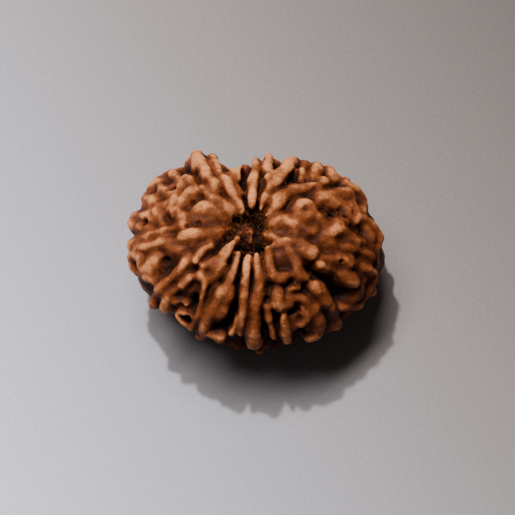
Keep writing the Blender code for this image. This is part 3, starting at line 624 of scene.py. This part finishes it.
def girth_ridges():
    """Ridges over the hidden part of the girth, some with a knob at one side."""
    draw = random.Random(UNDER_SEED + 1)
    ridges = []
    for i, bearing in enumerate(GIRTH_RIDGES):
        room = min(12, (bearing - GIRTH_RIDGES[i - 1]) % 360)
        gap = (guide_point(bearing, 90) - guide_point(bearing - room, 90)).length / MM
        half_width = max(0.4, min(1.1, 0.36 * gap))
        first = first_hidden_fall(bearing)
        last = max(first + 30, 118)
        sway, knots = draw.uniform(-0.2, 0.2), []
        for step in range(5):
            fall = first + (last - first) * step / 4 + draw.uniform(-2, 2)
            lift = -0.9 if step == 0 else draw.uniform(-0.6, 0.1)
            knots.append((bearing + sway * room, fall, half_width * draw.uniform(0.8, 1.2), lift))
            sway = max(-0.35, min(0.35, sway + draw.uniform(-0.25, 0.25)))
            if 0 < step < 4 and draw.random() < 0.5:
                side = bearing + draw.choice((-0.55, 0.55)) * room
                knob = 0.6 * half_width + 0.15
                ridges.append(((bearing, fall, knob, lift), (side, fall + draw.uniform(-4, 4), knob, lift)))
        ridges.append(knots)
    return ridges


def raw_seed(name):
    """The heart, the ridges and the plugs as one heap of overlapping shapes."""
    upper = read_ridges()
    pieces = [heart_body()]
    pieces += [ridge(knots) for knots in upper + under_ridges(upper) + girth_ridges()]
    pieces.append(lumps(PLUG))
    pieces.append(lumps([(bearing, 180 - fall, radius, lift) for bearing, fall, radius, lift in PLUG]))
    bpy.context.view_layer.update()
    for obj in bpy.context.view_layer.objects:
        obj.select_set(obj in pieces)
    bpy.context.view_layer.objects.active = pieces[0]
    bpy.ops.object.join()
    pieces[0].name = name
    pieces[0].data.name = name
    return pieces[0]


def applied(obj):
    """The mesh that the object's modifiers make, which replaces the object's own."""
    graph = bpy.context.evaluated_depsgraph_get()
    mesh = bpy.data.meshes.new_from_object(obj.evaluated_get(graph))
    obj.modifiers.clear()
    obj.data = mesh


def keep_largest_body(mesh):
    """Drops any closed bubble that the remesh leaves between beads."""
    body = bmesh.new()
    body.from_mesh(mesh)
    left, islands = set(body.verts), []
    while left:
        island, front = set(), [left.pop()]
        while front:
            vertex = front.pop()
            island.add(vertex)
            for edge in vertex.link_edges:
                other = edge.other_vert(vertex)
                if other in left:
                    left.remove(other)
                    front.append(other)
        islands.append(island)
    islands.sort(key=len)
    for island in islands[:-1]:
        bmesh.ops.delete(body, geom=list(island), context="VERTS")
    body.to_mesh(mesh)
    body.free()


def press_hollows(mesh):
    enlarged_mm = ENLARGED * PIXELS_PER_MM
    for quarter, hollows in HOLLOWS.items():
        for x, y, wide, depth in hollows:
            point, outward, _ = guide_frame(*sighted(QUARTER_CORNERS[quarter], x, y, 0))
            radius = wide / enlarged_mm * MM
            for vertex in mesh.vertices:
                offset = vertex.co - point
                if offset.length > 4 * MM:
                    continue
                height = offset.dot(outward)
                away = (offset - outward * height).length / radius
                if away < 1:
                    vertex.co -= outward * depth * MM * (1 - away * away) ** 2


def roughen(mesh):
    """Low, irregular swellings over the whole face."""
    pushes = []
    for vertex in mesh.vertices:
        swelling = noise.noise(vertex.co / (2.2 * MM)) * 0.26 + noise.noise(vertex.co / (0.9 * MM)) * 0.1
        pushes.append(vertex.normal * swelling * MM)
    for vertex, push in zip(mesh.vertices, pushes):
        vertex.co += push


def fuse(obj, voxel, smoothing_steps, triangles):
    """Melts the heap into one skin, softens it, shapes its face and thins it out."""
    remesh = obj.modifiers.new("fuse", "REMESH")
    remesh.mode = "VOXEL"
    remesh.voxel_size = voxel
    soften = obj.modifiers.new("soften", "SMOOTH")
    soften.factor = 0.5
    soften.iterations = smoothing_steps
    applied(obj)
    keep_largest_body(obj.data)
    press_hollows(obj.data)
    roughen(obj.data)
    thin = obj.modifiers.new("thin", "DECIMATE")
    thin.ratio = min(1, triangles / (2 * len(obj.data.polygons)))
    applied(obj)


def wear_flat(obj, flat_spot):
    """Wears the lowest crests flat, where the seed rests."""
    body = bmesh.new()
    body.from_mesh(obj.data)
    base = min(vertex.co.z for vertex in body.verts) + flat_spot
    cut = bmesh.ops.bisect_plane(
        body, geom=[*body.verts, *body.edges, *body.faces], dist=1e-7,
        plane_co=(0, 0, base), plane_no=(0, 0, 1), clear_inner=True,
    )
    rim = [item for item in cut["geom_cut"] if isinstance(item, bmesh.types.BMEdge)]
    bmesh.ops.holes_fill(body, edges=rim, sides=0)
    bmesh.ops.triangulate(body, faces=[face for face in body.faces if len(face.verts) > 3])
    bmesh.ops.recalc_face_normals(body, faces=body.faces)
    body.to_mesh(obj.data)
    body.free()


class Placing:
    """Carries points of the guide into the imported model's frame, box to box."""

    def __init__(self, mesh, low, high):
        corners = [[end(v.co[i] for v in mesh.vertices) for i in range(3)] for end in (min, max)]
        self.start = Vector(corners[0])
        self.low = low
        self.high = high
        self.stretch = Vector([(high[i] - low[i]) / (corners[1][i] - corners[0][i]) for i in range(3)])

    def __call__(self, point):
        return self.low + (point - self.start) * self.stretch

    def holds(self, point):
        """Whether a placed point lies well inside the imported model's box."""
        return all(self.low[i] + BOX_MARGIN < point[i] < self.high[i] - BOX_MARGIN for i in range(3))


def fine_seed():
    """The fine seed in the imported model's frame, and what carries the guide's points there."""
    seed = raw_seed("seed")
    fuse(seed, VOXEL, SMOOTHING_STEPS, TRIANGLES)
    tear_pits(seed.data)
    wear_flat(seed, FLAT_SPOT)
    low, high = (Vector(corner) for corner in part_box(NODE))
    placing = Placing(seed.data, low, high)
    note_forms(seed.data)
    for vertex in seed.data.vertices:
        vertex.co = placing(vertex.co)
    seed.data.shade_smooth()
    return seed, placing


def pit_share(x, y):
    """1 on the line through the poles, fading to 0 outside the pits."""
    return np.exp(-((x - POLE_SHIFT) ** 2 + y**2) / PIT_REACH**2)


def tear_pits(mesh):
    """Roughens the pits, where the stalk has torn away."""
    pushes = []
    for vertex in mesh.vertices:
        tear = pit_share(vertex.co.x, vertex.co.y)
        if tear > LEAST_TEAR:
            push = noise.noise(vertex.co / TORN_GRAIN) * TORN_HEIGHT * tear
            pushes.append((vertex, vertex.normal * push))
    for vertex, push in pushes:
        vertex.co += push


def sky_directions(count):
    """Directions over a half sphere, thicker round its middle, for a face that looks along +Z."""
    golden = math.pi * (3 - math.sqrt(5))
    directions = []
    for i in range(count):
        out = math.sqrt((i + 0.5) / count)
        turn = golden * i
        directions.append(Vector((out * math.cos(turn), out * math.sin(turn), math.sqrt(1 - out * out))))
    return directions


def openness_of(mesh):
    """How much of the sky each point sees, from 0 to 1."""
    corners = [vertex.co.copy() for vertex in mesh.vertices]
    faces = [tuple(face.vertices) for face in mesh.polygons]
    skin = BVHTree.FromPolygons(corners, faces)
    sky = sky_directions(SKY_RAYS)
    openness = []
    for vertex in mesh.vertices:
        turn = Vector((0, 0, 1)).rotation_difference(vertex.normal)
        start = vertex.co + vertex.normal * RAY_START
        seen = 0
        for direction in sky:
            distance = skin.ray_cast(start, turn @ direction, SKY_REACH)[3]
            seen += 1 if distance is None else WALL_LIGHT * distance / SKY_REACH
        openness.append(seen / SKY_RAYS)
    return openness


def depth_under_guide(point):
    """How far a point lies under the guide, found along the line from the seed's middle."""
    rise = (point.z - HALF_HEIGHT) / HALF_HEIGHT
    offset = point - Vector((POLE_SHIFT * rise, 0, HALF_HEIGHT))
    x, y, z = (part / axis for part, axis in zip(offset, (HALF_LENGTH, HALF_DEPTH, HALF_HEIGHT)))
    bearing, fall = math.degrees(math.atan2(y, x)), math.degrees(math.atan2(math.hypot(x, y), z))
    outer, outward, _ = guide_frame(bearing, fall)
    return (outer - point).dot(outward)


def heights_over_softened(points, normals, edges, rounds):
    """How far each point stands out of the face that this many rounds of softening leave, in mm."""
    first, second = edges[:, 0], edges[:, 1]
    shares = 1 + np.bincount(edges.ravel(), minlength=len(points))
    soft = points.copy()
    for _ in range(rounds):
        columns = []
        for column in soft.T:
            total = column + np.bincount(first, column[second], len(points))
            total += np.bincount(second, column[first], len(points))
            columns.append(total / shares)
        soft = np.stack(columns, axis=1)
    return ((points - soft) * normals).sum(axis=1) / MM


def rows_of(items, name, width, kind):
    """One row of numbers for each of a mesh's vertices, normals or edges."""
    values = np.empty(len(items) * width, kind)
    items.foreach_get(name, values)
    return values.reshape(-1, width)


def note_forms(mesh):
    """Notes on each point how open it lies, how far it stands out and how deep it lies. The shell's paint
    darkens with these as painted shade.
    """
    points = rows_of(mesh.vertices, "co", 3, float)
    normals = rows_of(mesh.vertex_normals, "vector", 3, np.float32)
    edges = rows_of(mesh.edges, "vertices", 2, np.int32)
    notes = {
        "openness": openness_of(mesh),
        "ridge": heights_over_softened(points, normals, edges, RIDGE_ROUNDS),
        "lobe": heights_over_softened(points, normals, edges, LOBE_ROUNDS),
        "depth": [depth_under_guide(vertex.co) / MM for vertex in mesh.vertices],
        "pit": pit_share(points[:, 0], points[:, 1]),
    }
    for name, values in notes.items():
        mesh.attributes.new(name, "FLOAT", "POINT").data.foreach_set("value", values)


class Value:
    """A number or colour that a material works out. Operators on it add Math nodes."""

    def __init__(self, paint, socket):
        self.paint = paint
        self.socket = socket

    def maths(self, operation, *values):
        return self.paint.node("ShaderNodeMath", {"operation": operation}, dict(enumerate(values)))

    def __add__(self, other):
        return self.maths("ADD", self, other)

    def __radd__(self, other):
        return self.maths("ADD", other, self)

    def __sub__(self, other):
        return self.maths("SUBTRACT", self, other)

    def __rsub__(self, other):
        return self.maths("SUBTRACT", other, self)

    def __mul__(self, other):
        return self.maths("MULTIPLY", self, other)

    def __rmul__(self, other):
        return self.maths("MULTIPLY", other, self)

    def power_of_e(self):
        return self.maths("EXPONENT", self)

    def between(self, low, high):
        """0 at low, 1 at high, and eased between them."""
        return self.paint.node(
            "ShaderNodeMapRange", {"interpolation_type": "SMOOTHSTEP"},
            {"Value": self, "From Min": low, "From Max": high},
        )


class Paint:
    """A material under way."""

    def __init__(self, name):
        self.material = bpy.data.materials.new(name)
        self.material.use_nodes = True
        self.tree = self.material.node_tree
        self.shader = self.tree.nodes["Principled BSDF"]

    def feed(self, socket, value):
        if isinstance(value, Value):
            self.tree.links.new(value.socket, socket)
        else:
            socket.default_value = value

    def node(self, kind, settings, inputs, output=0):
        made = self.tree.nodes.new(kind)
        for name, value in settings.items():
            if name == "stops":
                self.set_stops(made.color_ramp, value)
            else:
                setattr(made, name, value)
        for name, value in inputs.items():
            self.feed(made.inputs[name], value)
        return Value(self, made.outputs[output])

    def set_stops(self, ramp, stops):
        while len(ramp.elements) < len(stops):
            ramp.elements.new(1)
        for element, (position, looks) in zip(ramp.elements, stops):
            element.position = position
            element.color = colour(looks)

    def place(self):
        return self.node("ShaderNodeTexCoord", {}, {}, "Object")

    def noted(self, name):
        return self.node("ShaderNodeAttribute", {"attribute_name": name}, {}, "Fac")

    def along(self, direction):
        """How far each place lies along the direction, times the direction's length."""
        return self.node(
            "ShaderNodeVectorMath", {"operation": "DOT_PRODUCT"}, {0: self.place(), 1: direction}, "Value",
        )

    def cloud(self, size, detail, roughness):
        """A noise from 0 to 1 whose lumps are about this size in metres."""
        return self.node(
            "ShaderNodeTexNoise", {},
            {"Vector": self.place(), "Scale": 1 / size, "Detail": detail, "Roughness": roughness},
        )

    def mix(self, share, a, b, blend="MIX"):
        """Colour a at share 0 and colour b at share 1."""
        return self.node(
            "ShaderNodeMix", {"data_type": "RGBA", "blend_type": blend, "clamp_factor": True},
            {0: share, 6: a, 7: b}, 2,
        )

    def finish(self, tone, roughness, height, bump_height):
        bump = self.node("ShaderNodeBump", {}, {"Height": height, "Distance": bump_height}, "Normal")
        self.feed(self.shader.inputs["Base Color"], tone)
        self.feed(self.shader.inputs["Roughness"], roughness)
        self.feed(self.shader.inputs["Normal"], bump)
        self.feed(self.shader.inputs["Specular IOR Level"], SHINE)
        return self.material


def colour(looks):
    """A colour given as it looks, 0 to 255, as the linear light that a shader takes."""
    parts = [value / 255 for value in looks]
    return (*(part / 12.92 if part <= 0.04045 else ((part + 0.055) / 1.055) ** 2.4 for part in parts), 1)


def shell_shade(paint, closed, mottling, stains):
    """How dark the shell lies, from 0 on a crest to 1 deep in a cleft: mottling and stains, with painted
    shade in the clefts, valleys, hollows and pit and over the side away from the lamps, on top of the
    shell's own darker colour in its clefts.
    """
    # Painted shade, on top of the shell's own darker colour in its clefts: darker where the face lies low
    # between ridges and between lobes, deep under the guide and in the pit
    valley = 1 - paint.noted("ridge").between(-0.3, 0.42)
    hollow = 1 - paint.noted("lobe").between(-0.4, 1.1)
    sunk = paint.noted("depth").between(0.2, 2.4)
    pit = paint.noted("pit")
    # Painted shade over the side of the seed away from the lamps
    painted_side_shade = paint.along(PAINTED_SHADE_SIDE).between(-0.8, 0.6)
    shade = closed * 0.3 + valley * 0.25 + hollow * 0.2 + sunk * 0.4 + pit * 0.05 - 0.03
    return shade + painted_side_shade * 0.18 + (mottling - 0.5) * 0.5 + (stains - 0.5) * 0.3


def seed_paint():
    """Tan crests over red-brown flanks and nearly black clefts, with a fine, dry grain. The darkening into
    the clefts is partly the shell's own colour and partly painted shade.
    """
    paint = Paint("seed_shell")
    mottling, stains, grain = (paint.cloud(*lumps) for lumps in (MOTTLING, STAINS, SHELL_GRAIN))
    # How closed in each point lies: it darkens the colour as painted shade and makes the shell rougher
    closed = 1 - paint.noted("openness").between(0.1, 0.95)
    shade = shell_shade(paint, closed, mottling, stains)
    tone = paint.node("ShaderNodeValToRGB", {"stops": SHELL_TONES}, {"Fac": shade})
    speckled = paint.mix(grain.between(0.35, 0.62), colour(GRAIN_SHADE), colour(WHITE))
    tone = paint.mix(1.0, tone, speckled, "MULTIPLY")
    pores = paint.node(
        "ShaderNodeTexVoronoi", {"feature": "F1"},
        {"Vector": paint.place(), "Scale": 1 / PORE_SPACING, "Randomness": 1.0}, "Distance",
    )
    # Pores darkened to cleft brown: painted shade in tiny pits that the bump only dents
    pore = (1 - pores.between(0.05, 0.1)) * mottling.between(0.5, 0.62)
    tone = paint.mix(pore * 0.75, tone, colour(CLEFT_BROWN))
    roughness = 0.55 + closed * 0.3 + (stains - 0.5) * 0.25
    height = grain * 0.7 + stains * 0.6 - pore * 0.9
    return paint.finish(tone, roughness, height, SHELL_BUMP)


def fibre_paint():
    paint = Paint("seed_fibre")
    streaks = paint.cloud(*FIBRE_STREAKS)
    tone = paint.mix(streaks.between(0.3, 0.7), colour(CLEFT_BROWN), colour(FIBRE_TAN))
    return paint.finish(tone, 0.6 + streaks * 0.2, streaks, FINE_BUMP)


def floor_paint():
    """A pale grey sheet with a painted falloff of light: brightest and coolest at the front left, darker
    and warmer towards the back right.
    """
    paint = Paint("floor_grey")
    fine = paint.cloud(*FLOOR_GRAIN)
    # Painted light falloff across the floor
    slope = paint.along(FLOOR_PAINTED_FALLOFF)
    pale = paint.mix(slope.between(-0.45, 0.35), colour(FLOOR_WARM), colour(FLOOR_PALE))
    tone = paint.mix(slope.power_of_e() * FLOOR_MIDDLE, (0, 0, 0, 1), pale)
    tone = paint.mix(fine.between(0.4, 0.6) * 0.12, tone, FLOOR_SPECK, "MULTIPLY")
    return paint.finish(tone, 0.6 + fine * 0.1, fine, FINE_BUMP)


def strand(curve, points, radius):
    """One thread of the curve, thinnest at its ends."""
    spline = curve.splines.new("POLY")
    spline.points.add(len(points) - 1)
    for i, point in enumerate(points):
        wave = math.sin(math.pi * (THREAD_WAVE_START + THREAD_WAVE * i / (len(points) - 1)))
        spline.points[i].co = (*point, 1)
        spline.points[i].radius = radius * (THREAD_LEAST + (1 - THREAD_LEAST) * wave)


def threads(name, strands):
    """A mesh of thin round threads: ((points, radius), ...)."""
    curve = bpy.data.curves.new(name, "CURVE")
    curve.dimensions = "3D"
    curve.bevel_depth = 1
    curve.bevel_resolution = 1
    curve.use_fill_caps = True
    for points, radius in strands:
        strand(curve, points, radius)
    drawn = bpy.data.objects.new(name + "_curve", curve)
    bpy.context.scene.collection.objects.link(drawn)
    graph = bpy.context.evaluated_depsgraph_get()
    mesh = bpy.data.meshes.new_from_object(drawn.evaluated_get(graph))
    bpy.data.objects.remove(drawn)
    mesh.name = name
    mesh.shade_smooth()
    obj = bpy.data.objects.new(name, mesh)
    bpy.context.scene.collection.objects.link(obj)
    return obj


def aside(draw, down, around):
    """A random step over the face."""
    return down * draw.uniform(-1, 1) + around * draw.uniform(-1, 1)


def curling(root, heading, curl, length):
    """The points of a hair that sets out from its root along a heading and keeps turning."""
    points = []
    for _ in range(FIBRE_POINTS):
        points.append(root)
        root = root + heading * length / (FIBRE_POINTS - 1)
        heading = (heading + curl).normalized()
    return points


def fibre_strands(skin, placing):
    """Short curling hairs rooted in the skin, thickest round the pit and in the clefts."""
    draw = random.Random(FIBRE_SEED)
    strands = []
    places = [zone for zone in FIBRE_ZONES for _ in range(zone[4])]
    for first_bearing, last_bearing, first_fall, last_fall, _, longest in places:
        bearing, fall = draw.uniform(first_bearing, last_bearing), draw.uniform(first_fall, last_fall)
        point, outward, down = guide_frame(bearing, fall)
        around = outward.cross(down)
        placed = placing(point)
        root, normal, _, _ = skin.ray_cast(placing(point + outward * SEARCH_START), -outward)
        if root is None or (placed - root).length > SEARCH_END:
            continue
        if (placed - root).dot(outward) < SHALLOW and draw.random() < SHALLOW_BARE:
            continue
        lean = aside(draw, down, around) * FIBRE_LEAN + normal * draw.uniform(0.1, 0.9)
        curl = aside(draw, down, around) * FIBRE_CURL
        length = longest * draw.uniform(0.4, 1) * MM
        points = curling(root - normal * ROOT_DEPTH, lean.normalized(), curl, length)
        radius = FIBRE_RADIUS * draw.uniform(0.6, 1.5)
        if all(placing.holds(place) for place in points):
            strands.append((points, radius))
    return strands


def flake_strands(placing):
    strands = []
    for quarter, radius, lift, *places in FLAKES:
        points = []
        for x, y in places:
            point, outward, _ = guide_frame(*sighted(QUARTER_CORNERS[quarter], x, y, lift))
            points.append(placing(point + outward * lift * MM))
        strands.append((points, radius * MM / READS_THICKER))
    return strands


def add_floor():
    sheet = bmesh.new()
    bmesh.ops.create_grid(sheet, x_segments=1, y_segments=1, size=FLOOR_WIDTH / 2)
    floor = as_object(sheet, "floor")
    floor.data.materials.append(floor_paint())


def aimed(obj, place, target):
    obj.location = place
    obj.rotation_mode = "QUATERNION"
    obj.rotation_quaternion = (target - place).to_track_quat("-Z", "Y")
    bpy.context.scene.collection.objects.link(obj)


def add_lights():
    for i, (place, width, height, power, tint) in enumerate(LAMPS):
        lamp = bpy.data.lights.new(f"lamp_{i}", "AREA")
        lamp.shape = "ELLIPSE"
        lamp.size, lamp.size_y = width, height
        lamp.energy = power
        lamp.color = tint
        aimed(bpy.data.objects.new(f"lamp_{i}", lamp), place, Vector((0, 0, HALF_HEIGHT)))
    world = bpy.data.worlds.new("soft_sky")
    bpy.context.scene.world = world
    world.use_nodes = True
    sky = world.node_tree.nodes["Background"]
    sky.inputs["Color"].default_value = SKY_COLOUR
    sky.inputs["Strength"].default_value = SKY_STRENGTH


def add_camera(placing):
    """The photograph's view: the lens follows from its scale and distance."""
    camera = bpy.data.cameras.new("photograph_view")
    camera.sensor_width = SENSOR
    camera.lens = SENSOR * PIXELS_PER_MM * CAMERA_DISTANCE / MM / FRAME_PIXELS
    middle = FRAME_PIXELS / 2
    camera.shift_x = (middle - AIM_PIXEL.x) / FRAME_PIXELS
    camera.shift_y = (AIM_PIXEL.y - middle) / FRAME_PIXELS
    camera.clip_start = MM
    view = bpy.data.objects.new("photograph_view", camera)
    target = placing(AIM)
    aimed(view, target + BACK * CAMERA_DISTANCE, target)
    bpy.context.scene.camera = view


def joins_the_seed(piece, paint):
    piece.data.materials.clear()
    piece.data.materials.append(paint)
    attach(piece, "root")


def main():
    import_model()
    seed, placing = fine_seed()
    skin = BVHTree.FromObject(seed, bpy.context.evaluated_depsgraph_get())
    joins_the_seed(seed, seed_paint())
    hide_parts(NODE)
    hair = fibre_paint()
    joins_the_seed(threads("fibres", fibre_strands(skin, placing)), hair)
    joins_the_seed(threads("flakes", flake_strands(placing)), hair)
    add_floor()
    add_lights()
    add_camera(placing)


main()
